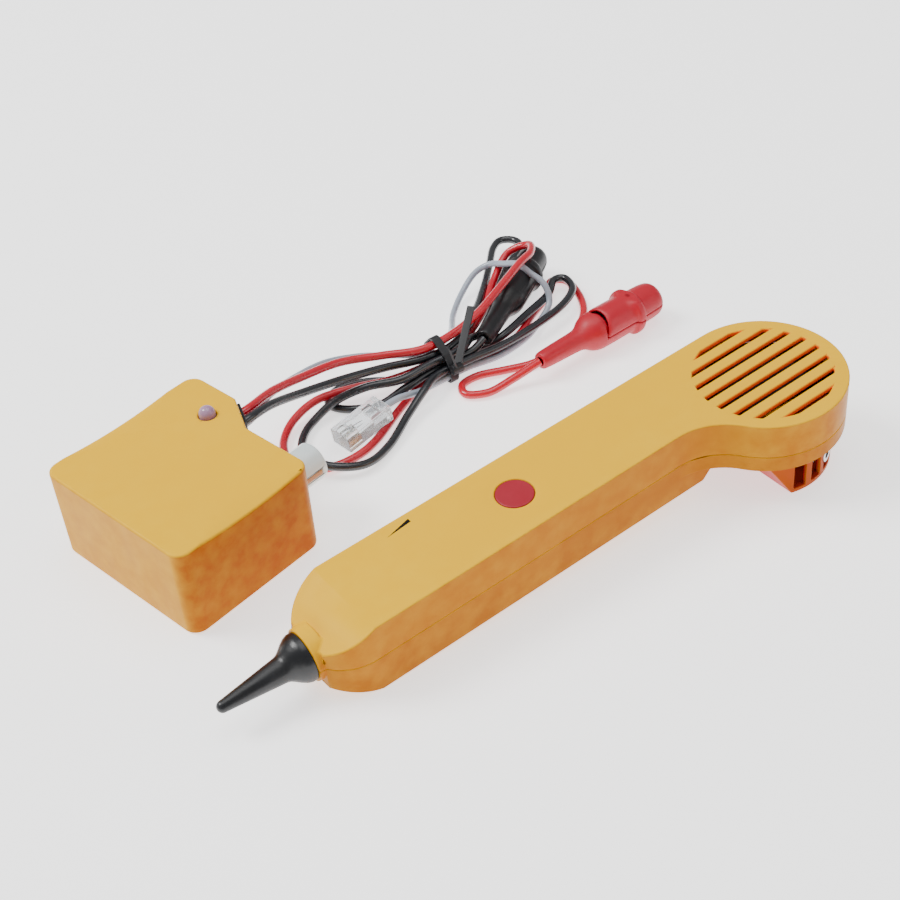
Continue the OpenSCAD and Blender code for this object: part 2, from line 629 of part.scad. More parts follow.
module black_boot() color([0.07, 0.07, 0.08]) at_black_clip() boot_lower(1);
module black_boot_top() color([0.07, 0.07, 0.08]) at_black_clip() boot_upper(1);
module black_clip_lower() color([0.7, 0.7, 0.72]) at_black_clip() jaw_lower();
module black_clip_upper() color([0.7, 0.7, 0.72]) at_black_clip() jaw_upper();
module black_clip_pin() color([0.6, 0.6, 0.62]) at_black_clip() clip_pin();
module black_clip_spring() color([0.6, 0.6, 0.62]) at_black_clip() clip_spring();
module red_boot() color([0.82, 0.06, 0.14]) at_red_clip() boot_lower(red_stout);
module red_boot_top() color([0.82, 0.06, 0.14]) at_red_clip() boot_upper(red_stout);
module red_clip_lower() color([0.7, 0.7, 0.72]) at_red_clip() jaw_lower();
module red_clip_upper() color([0.7, 0.7, 0.72]) at_red_clip() jaw_upper();
module red_clip_pin() color([0.6, 0.6, 0.62]) at_red_clip() clip_pin();
module red_clip_spring() color([0.6, 0.6, 0.62]) at_red_clip() clip_spring();

// Modular plug, lying across the leads with its nose down; its own +X points to its nose
plug_w = 9.65;
plug_h = 6.6;
module at_plug() translate([1, 50, 7]) rotate([0, 0, 187.3]) rotate([0, 7.4, 0]) children();

module modular_plug() color([0.85, 0.88, 0.9]) at_plug() difference() {
    union() {
        translate([0, -plug_w / 2, -plug_h / 2]) cube([21.5, plug_w, plug_h]);
        // Latch, joined at the nose
        translate([17.5, -1.6, plug_h / 2 - 1]) cube([4, 3.2, 2]);
        translate([17.8, 0, plug_h / 2 + 0.2]) rotate([0, -9, 0]) translate([-13.5, -1.6, 0]) cube([14, 3.2, 0.8]);
        translate([18, 0, plug_h / 2 + 0.2]) rotate([0, -9, 0]) translate([-7, -3, 0]) cube([5, 6, 0.8]);
    }
    translate([-1, -2.2, -1.4]) cube([9, 4.4, 2.8]);
    translate([4, -2.9, plug_h / 2 - 1.2]) cube([4, 5.8, 3]);
    // Slots for the contacts
    for (i = [0:3]) translate([14.4, (i - 1.5) * 1.02 - 0.2, -plug_h]) cube([6, 0.4, plug_h]);
}

module plug_contacts() color([0.85, 0.65, 0.3]) at_plug()
    for (i = [0:3]) translate([14.5, (i - 1.5) * 1.02 - 0.15, -plug_h / 2 + 0.5]) cube([5.6, 0.3, 2.6]);

// Twist tie: a band around the bundle, its knot and its two ends
tie_x = 33;
tie_w = 3.5;
bundle = [[53.5, 2.6], [53.5, 6], [57, 9.4], [63, 12.8], [66, 9.4], [61, 2.6]];
knot_at = [tie_x + tie_w / 2, 49.8, 8];

module bundle_outline(gap) hull() for (p = bundle) translate(p) circle(lead_r + gap, $fn = 24);

module tie_end(length, yaw, rise) translate(knot_at) rotate([0, -rise, yaw])
    translate([-1, -1.5, -0.4]) cube([length + 1, 3, 0.8]);

module twist_tie() color([0.06, 0.06, 0.07]) {
    translate([tie_x, 0, 0]) rotate([90, 0, 90]) linear_extrude(tie_w) difference() {
        bundle_outline(0.95);
        bundle_outline(0.15);
    }
    translate(knot_at - [2.2, 0, 0]) rotate([0, 90, 0]) cylinder(h = 4.4, r = 1.9, $fn = 32);
    tie_end(25.5, 36, 33);
    tie_end(10.5, 158, 75);
}

generator_case();
generator_base();
generator_screws();
generator_battery();
generator_battery_snap();
generator_board();
generator_led();
rotary_switch();
selector_knob();
knob_pointer();
lead_grommet();
probe_upper_shell();
probe_lower_shell();
probe_battery_door();
probe_battery();
probe_battery_snap();
probe_board();
power_button();
push_switch();
volume_wheel();
volume_pot();
speaker_frame();
speaker_magnet();
speaker_cone();
sound_drum();
earphone_jack();
probe_tip();
antenna_rod();
probe_screws();
black_lead();
red_lead();
line_cord();
modular_plug();
plug_contacts();
black_boot();
black_boot_top();
black_clip_lower();
black_clip_upper();
black_clip_pin();
black_clip_spring();
red_boot();
red_boot_top();
red_clip_lower();
red_clip_upper();
red_clip_pin();
red_clip_spring();
twist_tie();
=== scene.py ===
"""Tone probe kit: the looks of the generator, the amplifier probe and the tied hank of leads."""
import math
import bmesh
import bpy
from mathutils import Matrix, Vector


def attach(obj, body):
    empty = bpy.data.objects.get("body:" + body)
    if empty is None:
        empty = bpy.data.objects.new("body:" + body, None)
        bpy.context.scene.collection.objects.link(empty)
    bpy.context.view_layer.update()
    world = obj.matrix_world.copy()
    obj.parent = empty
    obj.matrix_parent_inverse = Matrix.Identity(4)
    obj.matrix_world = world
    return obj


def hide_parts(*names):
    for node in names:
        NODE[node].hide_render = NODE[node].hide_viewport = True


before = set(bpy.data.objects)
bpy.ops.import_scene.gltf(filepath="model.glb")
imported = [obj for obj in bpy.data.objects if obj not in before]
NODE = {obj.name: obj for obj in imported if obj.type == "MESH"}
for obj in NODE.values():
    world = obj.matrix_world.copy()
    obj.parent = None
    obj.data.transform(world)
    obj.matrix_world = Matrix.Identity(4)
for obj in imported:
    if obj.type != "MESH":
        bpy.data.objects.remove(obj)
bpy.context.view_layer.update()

MM = 0.001
rad = math.radians

# Camera, in the same frame as the model: azimuth, elevation and roll in degrees, the point that it looks at,
# its distance from there in metres, and its lens and sensor in mm
VIEW_AZ, VIEW_EL, VIEW_ROLL = -34.285, 40.191, -4.249
AIM = Vector((-0.46, 6.75, 15.0)) * MM
DISTANCE = 0.50616
LENS = 58.78
SENSOR = 36
NEAR_CLIP = 0.01


def camera():
    """Camera at the view's azimuth and elevation, then rolled about its line of sight."""
    azimuth, elevation, roll = rad(VIEW_AZ), rad(VIEW_EL), rad(VIEW_ROLL)
    level = math.cos(elevation)
    back = Vector((math.sin(azimuth) * level, -math.cos(azimuth) * level, math.sin(elevation)))
    right = Vector((math.cos(azimuth), math.sin(azimuth), 0))
    up = back.cross(right)
    rolled_right = math.cos(roll) * right + math.sin(roll) * up
    rolled_up = -math.sin(roll) * right + math.cos(roll) * up
    data = bpy.data.cameras.new("camera")
    data.lens = LENS
    data.sensor_width = SENSOR
    data.clip_start = NEAR_CLIP
    obj = bpy.data.objects.new("camera", data)
    place = Matrix((rolled_right, rolled_up, back)).transposed().to_4x4()
    place.translation = AIM + DISTANCE * back
    obj.matrix_world = place
    bpy.context.scene.collection.objects.link(obj)
    bpy.context.scene.camera = obj


camera()

# ---------------------------------------------------------------- materials

# Axis of the probe's head where it crosses the top of the head, in metres
HEAD_AT = (0.0912, -0.05035)
# Printed wedge beside the volume wheel: its point, the middle of its thick end, and that end's width
WEDGE_POINT = (-0.0495, -0.0271)
WEDGE_END = (-0.0398, -0.0255)
WEDGE_WIDTH = 0.0016
INK = (0.01, 0.01, 0.012, 1)


class Nodes:
    """Short way to build a node material."""

    def __init__(self, name):
        self.mat = bpy.data.materials.new(name)
        self.mat.use_nodes = True
        self.tree = self.mat.node_tree
        self.bsdf = self.tree.nodes["Principled BSDF"]
        self.coord = self.add("ShaderNodeTexCoord").outputs["Object"]

    def add(self, kind, **values):
        """A new node with its settings."""
        n = self.tree.nodes.new(kind)
        for k, v in values.items():
            setattr(n, k, v)
        return n

    def put(self, socket, value):
        """Link another node's output to a socket, or set the socket's own value."""
        if isinstance(value, bpy.types.NodeSocket):
            self.tree.links.new(value, socket)
        else:
            socket.default_value = value

    def math(self, op, a, b=0.0, clamp=False):
        n = self.add("ShaderNodeMath", operation=op, use_clamp=clamp)
        self.put(n.inputs[0], a)
        self.put(n.inputs[1], b)
        return n.outputs[0]

    def noise(self, scale, detail=4.0, rough=0.55, stretch=None):
        """Noise over the object, in cells per metre, stretched along an axis where asked."""
        n = self.add("ShaderNodeTexNoise")
        v = self.coord
        if stretch:
            m = self.add("ShaderNodeMapping")
            self.put(m.inputs["Vector"], v)
            m.inputs["Scale"].default_value = stretch
            v = m.outputs[0]
        self.put(n.inputs["Vector"], v)
        n.inputs["Scale"].default_value = scale
        n.inputs["Detail"].default_value = detail
        n.inputs["Roughness"].default_value = rough
        return n.outputs["Fac"]

    def ramp(self, fac, lo, hi, a=0.0, b=1.0):
        """From a to b as fac goes from lo to hi, and level outside them."""
        n = self.add("ShaderNodeMapRange", clamp=True)
        self.put(n.inputs["Value"], fac)
        for k, v in zip(("From Min", "From Max", "To Min", "To Max"), (lo, hi, a, b)):
            n.inputs[k].default_value = v
        return n.outputs[0]

    def mix(self, fac, a, b):
        """Colour a at 0 and colour b at 1."""
        n = self.add("ShaderNodeMix", data_type="RGBA")
        self.put(n.inputs[0], fac)
        self.put(n.inputs[6], a)
        self.put(n.inputs[7], b)
        return n.outputs[2]

    def bump(self, height, strength, distance, normal=None):
        n = self.add("ShaderNodeBump")
        n.inputs["Strength"].default_value = strength
        n.inputs["Distance"].default_value = distance
        self.put(n.inputs["Height"], height)
        if normal:
            self.put(n.inputs["Normal"], normal)
        return n.outputs[0]

    def edge(self):
        """1 on convex edges, 0 elsewhere."""
        return self.ramp(self.add("ShaderNodeNewGeometry").outputs["Pointiness"], 0.505, 0.56)

    def axis(self, index, of="Normal"):
        """X, Y or Z of the world normal, or of the world position."""
        s = self.add("ShaderNodeSeparateXYZ")
        self.put(s.inputs[0], self.add("ShaderNodeNewGeometry").outputs[of])
        return s.outputs[index]

    def near_head(self, radius, soft=0.0004):
        """1 inside a radius of the axis of the probe's head, 0 outside it, with a soft rim."""
        dx = self.math("SUBTRACT", self.axis(0, "Position"), HEAD_AT[0])
        dy = self.math("SUBTRACT", self.axis(1, "Position"), HEAD_AT[1])
        squares = self.math("ADD", self.math("MULTIPLY", dx, dx), self.math("MULTIPLY", dy, dy))
        return self.ramp(self.math("SQRT", squares), radius - soft, radius + soft, 1.0, 0.0)

    def wedge(self, point, end, width):
        """1 on a mark that widens from a point to the middle of its thick end."""
        along = self.ramp(self.axis(0, "Position"), point[0], end[0])
        middle = self.ramp(along, 0.0, 1.0, point[1], end[1])
        off = self.math("ABSOLUTE", self.math("SUBTRACT", self.axis(1, "Position"), middle))
        inside = self.math("LESS_THAN", off, self.math("MULTIPLY", along, width / 2))
        return self.math("MULTIPLY", inside, self.math("LESS_THAN", along, 0.999))


def rgb(r, g, b):
    """A colour given as on a screen, 0 to 255, made linear."""
    def one(v):
        v /= 255
        return v / 12.92 if v <= 0.04045 else ((v + 0.055) / 1.055) ** 2.4
    return (one(r), one(g), one(b), 1.0)


def case_plastic(name, top, side, front, inner, hollow_shade_r, rough=0.34):
    """Moulded plastic in one colour on top, with painted shade as one darker colour on its sides and another on
    its -Y faces.

    It has a fine spark-eroded grain, faint flow marks and paler rubbed edges. Within the given radius of the
    head's axis its walls take the colour inner, which is painted shade on the walls of the slots and hollows
    there. The printed wedge lies on its top.
    """
    m = Nodes(name)
    # painted shade: by the world normal, sides and -Y faces take darker colours than the top
    up = m.ramp(m.axis(2), 0.25, 0.95)
    fore = m.ramp(m.math("MULTIPLY", m.axis(1), -1.0), 0.3, 0.95)
    tone = m.mix(fore, side, front)
    # painted shade: near the head's axis the walls take the colour of the shade in its slots and hollows
    tone = m.mix(m.near_head(hollow_shade_r), tone, inner)
    tone = m.mix(up, tone, top)
    cloud = m.ramp(m.noise(18, 3), 0.3, 0.7, 0.0, 0.03)
    tone = m.mix(cloud, tone, (0.02, 0.01, 0.001, 1))
    worn = m.math("MULTIPLY", m.edge(), m.ramp(m.noise(160, 5), 0.35, 0.7))
    pale = tuple(min(1.0, c * 1.15 + 0.03) for c in top[:3]) + (1.0,)
    tone = m.mix(m.math("MULTIPLY", worn, 0.4), tone, pale)
    printed = m.math("MULTIPLY", up, m.wedge(WEDGE_POINT, WEDGE_END, WEDGE_WIDTH))
    m.put(m.bsdf.inputs["Base Color"], m.mix(printed, tone, INK))
    smear = m.noise(35, 4, 0.6, (1.0, 3.0, 1.0))
    m.put(m.bsdf.inputs["Roughness"], m.ramp(smear, 0.3, 0.75, rough - 0.05, rough + 0.1))
    grain = m.bump(m.noise(1500, 2), 0.02, 0.0002)
    flow = m.bump(m.noise(45, 2), 0.015, 0.0010, grain)
    m.put(m.bsdf.inputs["Normal"], flow)
    m.bsdf.inputs["Specular IOR Level"].default_value = 0.06
    return m.mat


def rubber(name, base, worn, rough=0.42, grain=1500, coat=0.0, stretch=None, wear=1.0):
    """Soft moulded rubber or cord jacket: mottled colour, dusty wear and a fine skin."""
    m = Nodes(name)
    mottle = m.ramp(m.noise(60, 5, 0.6, stretch), 0.35, 0.7)
    scuff = m.math("MULTIPLY", m.ramp(m.noise(220, 6), 0.55, 0.75), 0.35 * wear)
    tone = m.mix(m.math("MULTIPLY", mottle, 0.35 * wear), base, worn)
    tone = m.mix(scuff, tone, worn)
    tone = m.mix(m.math("MULTIPLY", m.edge(), 0.3), tone, worn)
    m.put(m.bsdf.inputs["Base Color"], tone)
    m.put(m.bsdf.inputs["Roughness"], m.ramp(m.noise(90, 4), 0.3, 0.7, rough - 0.08, rough + 0.12))
    fine = m.bump(m.noise(grain, 3), 0.22 * wear, 0.00012)
    m.put(m.bsdf.inputs["Normal"], m.bump(m.noise(70, 2), 0.12 * wear, 0.0008, fine))
    m.bsdf.inputs["Coat Weight"].default_value = coat
    m.bsdf.inputs["Coat Roughness"].default_value = 0.22
    return m.mat


def metal(name, base, tarnish, rough=0.22, stretch=(1.0, 1.0, 30.0)):
    """Plated or brushed metal with drawn lines and a little tarnish."""
    m = Nodes(name)
    lines = m.noise(240, 4, 0.6, stretch)
    stain = m.ramp(m.noise(110, 5), 0.45, 0.75, 0.0, 0.5)
    m.put(m.bsdf.inputs["Base Color"], m.mix(stain, base, tarnish))
    m.put(m.bsdf.inputs["Roughness"], m.ramp(lines, 0.3, 0.7, rough - 0.06, rough + 0.14))
    m.put(m.bsdf.inputs["Normal"], m.bump(lines, 0.15, 0.0001))
    m.bsdf.inputs["Metallic"].default_value = 1.0
    return m.mat


def clear_plastic(name, tint, rough=0.06, clear=0.82):
    """Clear or milky moulded plastic with faint haze."""
    m = Nodes(name)
    haze = m.ramp(m.noise(120, 3), 0.3, 0.7, 0.0, 0.3)
    m.put(m.bsdf.inputs["Base Color"], m.mix(haze, tint, (0.8, 0.86, 0.9, 1)))
    m.put(m.bsdf.inputs["Roughness"], m.ramp(m.noise(200, 3), 0.3, 0.7, rough, rough + 0.12))
    m.put(m.bsdf.inputs["Normal"], m.bump(m.noise(300, 3), 0.2, 0.0002))
    m.bsdf.inputs["Transmission Weight"].default_value = clear
    m.bsdf.inputs["IOR"].default_value = 1.46
    return m.mat


# Yellow of both top faces, and the painted shade in red on the walls in the grille's slots and in the drum's
# windows
BRIGHT = (0.95, 0.52, 0.001, 1)
SLOT_SHADE_RED = (1.0, 0.15, 0.008, 1)
WINDOW_SHADE_RED = (0.50, 0.012, 0.012, 1)
# How far from the head's axis that painted shade on the walls reaches, in metres; the generator has none
GRILLE_R, FLOOR_R, DRUM_R, NO_R = 0.0246, 0.0240, 0.0236, 0.0
# painted shade: the side and -Y face colours of both cases are darker copies of the top yellow
YELLOW = case_plastic("case_yellow", BRIGHT, (0.56, 0.24, 0.001, 1), (0.50, 0.16, 0.001, 1),
                      SLOT_SHADE_RED, GRILLE_R)
# the generator's own copy carries a deeper painted shade on its -Y faces
GENERATOR = case_plastic("generator_yellow", BRIGHT, (0.60, 0.26, 0.001, 1), (0.44, 0.105, 0.001, 1),
                         SLOT_SHADE_RED, NO_R)
# painted shade: the lower pieces take a darker copy of the same case yellow
LOWER_SHADED = case_plastic("case_yellow_lower_shaded", (0.84, 0.44, 0.001, 1), (0.50, 0.20, 0.001, 1),
                    (0.46, 0.14, 0.001, 1), SLOT_SHADE_RED, FLOOR_R)
# painted shade: the drum is the same yellow plastic, coloured dark orange and red for the shade under the head
DRUM_SHADED = case_plastic("drum_yellow_shaded", (0.45, 0.03, 0.006, 1), (0.46, 0.11, 0.001, 1), (0.44, 0.075, 0.001, 1),
                    WINDOW_SHADE_RED, DRUM_R)
BLACK_RUBBER = rubber("black_rubber", rgb(10, 10, 13), rgb(38, 40, 46), 0.40)
TIP_RUBBER = rubber("tip_rubber", rgb(8, 9, 12), rgb(34, 36, 42), 0.34, 900, 0.1)
RED_RUBBER = rubber("red_rubber", (0.46, 0.0, 0.014, 1), (0.54, 0.004, 0.03, 1), 0.44, 900, 0.03)
BLACK_JACKET = rubber("black_jacket", rgb(14, 15, 19), rgb(52, 56, 64), 0.24, 2200, 0.5, (1, 1, 3), 0.3)
RED_JACKET = rubber("red_jacket", (0.56, 0.0, 0.014, 1), (0.64, 0.006, 0.03, 1), 0.26, 2200, 0.5,
                    (1, 1, 3), 0.3)
GREY_JACKET = rubber("grey_jacket", rgb(150, 160, 174), rgb(206, 214, 224), 0.26, 2000, 0.4, (1, 1, 3), 0.3)
BUTTON_RED = rubber("button_red", (0.34, 0.0, 0.014, 1), (0.42, 0.006, 0.03, 1), 0.46, 1300, 0.0)
KNOB_PALE = rubber("knob_pale", rgb(214, 228, 230), rgb(246, 250, 250), 0.26, 1200, 0.3)
KNOB_MARK = rubber("knob_mark", rgb(176, 104, 44), rgb(206, 150, 90), 0.4)
DARK_PLASTIC = rubber("dark_plastic", rgb(20, 20, 22), rgb(52, 52, 56), 0.5)
BOARD_GREEN = rubber("board_green", rgb(16, 84, 42), rgb(60, 130, 74), 0.4)
CELL_BLUE = rubber("cell_wrap", rgb(28, 44, 92), rgb(90, 104, 140), 0.35)
CONE_BLACK = rubber("cone_paper", rgb(18, 18, 19), rgb(40, 40, 42), 0.8, 700)
STEEL = metal("steel", (0.60, 0.61, 0.64, 1), (0.38, 0.37, 0.36, 1))
CHROME = metal("chrome", (0.80, 0.81, 0.84, 1), (0.55, 0.54, 0.52, 1), 0.14)
GOLD = metal("contact_gold", (0.85, 0.62, 0.25, 1), (0.6, 0.42, 0.18, 1), 0.2)
LED_CLEAR = clear_plastic("led_violet", rgb(186, 138, 180), 0.10, 0.25)
PLUG_CLEAR = clear_plastic("plug_clear", (0.93, 0.96, 0.98, 1))

# Which finish each CAD node has
FINISH = {
    YELLOW: ["probe_upper_shell"],
    GENERATOR: ["generator_case"],
    LOWER_SHADED: ["generator_base", "probe_lower_shell", "probe_battery_door"],
    DRUM_SHADED: ["sound_drum"],
    DARK_PLASTIC: ["generator_battery_snap", "rotary_switch", "probe_battery_snap", "push_switch",
                   "volume_wheel"],
    BLACK_RUBBER: ["lead_grommet", "twist_tie"],
    TIP_RUBBER: ["probe_tip"],
    BOARD_GREEN: ["generator_board", "probe_board"],
    CELL_BLUE: ["generator_battery", "probe_battery"],
    CONE_BLACK: ["speaker_cone"],
    STEEL: ["generator_screws", "volume_pot", "speaker_frame", "speaker_magnet", "antenna_rod", "probe_screws",
            "black_clip_lower", "black_clip_upper", "black_clip_pin", "black_clip_spring",
            "red_clip_lower", "red_clip_upper", "red_clip_pin", "red_clip_spring"],
    CHROME: ["earphone_jack"],
    GOLD: ["plug_contacts"],
    PLUG_CLEAR: ["modular_plug"],
    LED_CLEAR: ["generator_led"],
    KNOB_PALE: ["selector_knob"],
    KNOB_MARK: ["knob_pointer"],
    BUTTON_RED: ["power_button"],
}
for finish, names in FINISH.items():
    for name in names:
        for slot in NODE[name].material_slots:
            slot.material = finish

# Width in mm of the rounded moulded edges on the CAD shapes that show
ROUNDED = {
    "generator_case": 0.9, "probe_upper_shell": 0.6, "probe_lower_shell": 0.3, "sound_drum": 0.4,
    "probe_battery_door": 0.3, "power_button": 0.5, "selector_knob": 0.6, "knob_pointer": 0.1,
    "volume_wheel": 0.15, "modular_plug": 0.25, "twist_tie": 0.2, "lead_grommet": 0.25, "probe_tip": 0.2,
    "earphone_jack": 0.15,
}
# Points closer than this are one, faces flatter than this are one, and edges sharper than this are rounded
SAME_POINT, FLAT_ANGLE, SHARP_ANGLE = 1e-6, 0.6, 34


def rounded(obj, width):
    """Merge the CAD triangles into flat faces, then round the sharp edges between them."""
    weld = obj.modifiers.new("weld", "WELD")
    weld.merge_threshold = SAME_POINT
    flat = obj.modifiers.new("flat", "DECIMATE")
    flat.decimate_type = "DISSOLVE"
    flat.angle_limit = rad(FLAT_ANGLE)
    bevel = obj.modifiers.new("rounded", "BEVEL")
    bevel.width = width * MM
    bevel.segments = 3
    bevel.limit_method = "ANGLE"
    bevel.angle_limit = rad(SHARP_ANGLE)
    bevel.use_clamp_overlap = False
    bevel.harden_normals = False
    normals = obj.modifiers.new("normals", "WEIGHTED_NORMAL")
    normals.keep_sharp = False


for name, width in ROUNDED.items():
    rounded(NODE[name], width)

# ---------------------------------------------------------------- leads and line cord
# The points of part.scad, in metres
BLACK_ROUTE = [
    (-0.058, 0.0499, 0.0293), (-0.0556, 0.0504, 0.0293), (-0.05, 0.0516, 0.0293), (-0.04, 0.056, 0.0265),
    (-0.025, 0.062, 0.02), (-0.006, 0.066, 0.014), (0.012, 0.065, 0.011), (0.028, 0.0615, 0.0094),
    (0.042, 0.0615, 0.0094), (0.057, 0.07, 0.009), (0.075, 0.086, 0.0056), (0.09, 0.1005, 0.005),
    (0.099, 0.1095, 0.005), (0.1055, 0.1125, 0.005), (0.11, 0.1085, 0.005), (0.1075, 0.1025, 0.005),
    (0.0925, 0.0945, 0.0025), (0.0765, 0.081, 0.0017), (0.059, 0.0665, 0.0042), (0.05, 0.0615, 0.008),
    (0.042, 0.057, 0.0094), (0.028, 0.057, 0.0094), (0.014, 0.057, 0.009), (0.002, 0.063, 0.008),
    (-0.01, 0.067, 0.0048), (-0.022, 0.065, 0.0017), (-0.031, 0.057, 0.0017), (-0.034, 0.047, 0.0045),
    (-0.031, 0.037, 0.005), (-0.02, 0.032, 0.003), (-0.007, 0.036, 0.0017), (0.008, 0.0445, 0.0032),
    (0.02, 0.05, 0.0058), (0.028, 0.0535, 0.006), (0.042, 0.0535, 0.006), (0.058, 0.053, 0.0052),
    (0.076, 0.0545, 0.0052), (0.093, 0.058, 0.0052), (0.104, 0.064, 0.0052), (0.107, 0.072, 0.0052),
    (0.1025, 0.074, 0.0052), (0.0945, 0.0678, 0.0052), (0.081, 0.0635, 0.005), (0.064, 0.0595, 0.0037),
    (0.054, 0.0615, 0.0017), (0.042, 0.061, 0.0026), (0.028, 0.061, 0.0026), (0.019, 0.065, 0.0017),
    (0.008, 0.073, 0.0017), (-0.003, 0.076, 0.0017), (-0.01, 0.071, 0.0017), (-0.007, 0.064, 0.0017),
    (0.003, 0.058, 0.0017), (0.015, 0.056, 0.0051), (0.028, 0.057, 0.006), (0.042, 0.057, 0.006),
    (0.048, 0.057, 0.0062), (0.054, 0.058, 0.008),
]
RED_ROUTE = [
    (-0.0564, 0.0546, 0.0293), (-0.054, 0.0551, 0.0293), (-0.048, 0.0565, 0.0293), (-0.036, 0.063, 0.026),
    (-0.019, 0.07, 0.02), (-0.002, 0.073, 0.016), (0.014, 0.069, 0.0135), (0.028, 0.063, 0.0128),
    (0.042, 0.063, 0.0128), (0.057, 0.0655, 0.0145), (0.074, 0.0715, 0.017), (0.087, 0.0765, 0.019),
    (0.096, 0.0805, 0.0185), (0.101, 0.088, 0.0165), (0.0945, 0.094, 0.012), (0.083, 0.0885, 0.0068),
    (0.07, 0.078, 0.0051), (0.056, 0.0685, 0.0055), (0.042, 0.061, 0.006), (0.028, 0.061, 0.006),
    (0.014, 0.064, 0.005), (0, 0.069, 0.0051), (-0.014, 0.072, 0.0051), (-0.026, 0.07, 0.003),
    (-0.035, 0.063, 0.0017), (-0.039, 0.053, 0.0017), (-0.0365, 0.044, 0.0017), (-0.028, 0.0395, 0.0017),
    (-0.018, 0.039, 0.0017), (-0.008, 0.042, 0.0017), (0.008, 0.0505, 0.0017), (0.02, 0.056, 0.0017),
    (0.028, 0.057, 0.0026), (0.042, 0.057, 0.0026), (0.057, 0.0555, 0.0017), (0.07, 0.0575, 0.0017),
    (0.083, 0.0645, 0.0017), (0.096, 0.0708, 0.0017), (0.104, 0.078, 0.0017), (0.1095, 0.075, 0.0017),
    (0.108, 0.066, 0.0017), (0.103, 0.056, 0.0017), (0.096, 0.049, 0.0017), (0.086, 0.043, 0.0017),
    (0.074, 0.04, 0.0017), (0.063, 0.04, 0.0017), (0.053, 0.0435, 0.0017), (0.043, 0.0475, 0.0017),
    (0.035, 0.047, 0.0017), (0.0325, 0.0415, 0.0017), (0.039, 0.037, 0.0017), (0.05, 0.035, 0.004),
    (0.061, 0.0325, 0.008),
]
LINE_ROUTE = [
    (-0.0572, 0.0523, 0.026), (-0.0548, 0.0528, 0.026), (-0.048, 0.0555, 0.0256), (-0.036, 0.0655, 0.0228),
    (-0.02, 0.074, 0.018), (-0.004, 0.08, 0.013), (0.01, 0.079, 0.0095), (0.02, 0.072, 0.009),
    (0.028, 0.066, 0.0094), (0.042, 0.066, 0.0092), (0.051, 0.075, 0.0045), (0.06, 0.086, 0.002),
    (0.071, 0.0945, 0.003), (0.08, 0.0975, 0.007), (0.086, 0.095, 0.01), (0.088, 0.0875, 0.013),
    (0.089, 0.08, 0.016), (0.091, 0.0745, 0.0135), (0.093, 0.0685, 0.0105), (0.0915, 0.0635, 0.005),
    (0.084, 0.06, 0.0017), (0.072, 0.0545, 0.0017), (0.057, 0.0523, 0.0017), (0.042, 0.0535, 0.0026),
    (0.028, 0.0535, 0.0026), (0.019, 0.0525, 0.0036), (0.009, 0.0515, 0.0062), (0.001, 0.05, 0.007),
]
LEAD_D, CORD_D = 0.0032, 0.0026
# Gap that a cord keeps above the table
CLEAR = 0.00005


def either_side(pts, i):
    """The points before and after point i, carried on in a straight line past the ends."""
    before = pts[i - 1] if i else 2 * pts[0] - pts[1]
    after = pts[i + 1] if i < len(pts) - 1 else 2 * pts[-1] - pts[-2]
    return before, after


def cord_curve(name, points, diameter, finish):
    """One smooth open curve through the points, never lower than the table."""
    data = bpy.data.curves.new(name, "CURVE")
    data.dimensions = "3D"
    data.bevel_depth = diameter / 2
    data.bevel_resolution = 5
    data.resolution_u = 10
    data.use_fill_caps = True
    spline = data.splines.new("BEZIER")
    spline.bezier_points.add(len(points) - 1)
    pts = [Vector(p) for p in points]
    low = diameter / 2 + CLEAR
    for i, (b, p) in enumerate(zip(spline.bezier_points, pts)):
        before, after = either_side(pts, i)
        step = (after - before) / 6
        p = Vector((p.x, p.y, max(p.z, low)))
        step.z = max(low - p.z, min(p.z - low, step.z))
        b.handle_left_type = b.handle_right_type = "FREE"
        b.co, b.handle_left, b.handle_right = p, p - step, p + step
    data.materials.append(finish)
    obj = bpy.data.objects.new(name, data)
    bpy.context.scene.collection.objects.link(obj)
    return obj


def length_of(points):
    """Length along the smooth curve."""
    pts = [Vector(p) for p in points]
    total, last, steps = 0.0, pts[0], 8
    for i in range(len(pts) - 1):
        b, c = pts[i], pts[i + 1]
        a, d = either_side(pts, i)[0], either_side(pts, i + 1)[1]
        for k in range(steps):
            u = k / steps
            q = 0.5 * (2 * b + (c - a) * u + (2 * a - 5 * b + 4 * c - d) * u * u
                       + (3 * b - a - 3 * c + d) * u ** 3)
            total += (q - last).length
            last = q
    return total + (pts[-1] - last).length


black_lead = cord_curve("black_lead_jacket", BLACK_ROUTE, LEAD_D, BLACK_JACKET)
red_lead = cord_curve("red_lead_jacket", RED_ROUTE, LEAD_D, RED_JACKET)
line_cord = cord_curve("line_cord_jacket", LINE_ROUTE, CORD_D, GREY_JACKET)
for obj, node in ((black_lead, "black_lead"), (red_lead, "red_lead"), (line_cord, "line_cord")):
    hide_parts(node)
    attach(obj, "generator")

# ---------------------------------------------------------------- clip boots

# Place of the tail's end in mm, heading in degrees, whether it is rolled over, and how stout its barrel is
BLACK_CLIP = (Vector((54.0, 58.0, 8.0)), 31.5, True, 1.0)
RED_CLIP = (Vector((61.0, 32.5, 8.0)), 3.0, False, 1.14)
# Along the clip, in mm: its nose, the wall of its boot, and the opening of its jaw in degrees
NOSE_X, SKIN, OPENS = 62.0, 1.3, 20.0
# Where the fixed half starts, the tail ends, the moving half starts, and the sleeve under it runs
FIXED_X, TAIL_X, MOVING_X = 27.6, 28.2, 28.3
SLEEVE_X0, SLEEVE_X1, SLEEVE_SUNK = 26.5, 31.0, 1.4
# Where the stout barrel begins and over what length it grows, and the same at its nose
SHOULDER_X, SHOULDER_L, NOSE_L = 20, 4, 2
# Half the height between the boot's two flats, its least radius, and the gap between its halves as an angle
FLAT, LEAST_R, PARTING = 7.75, 0.05, 0.012
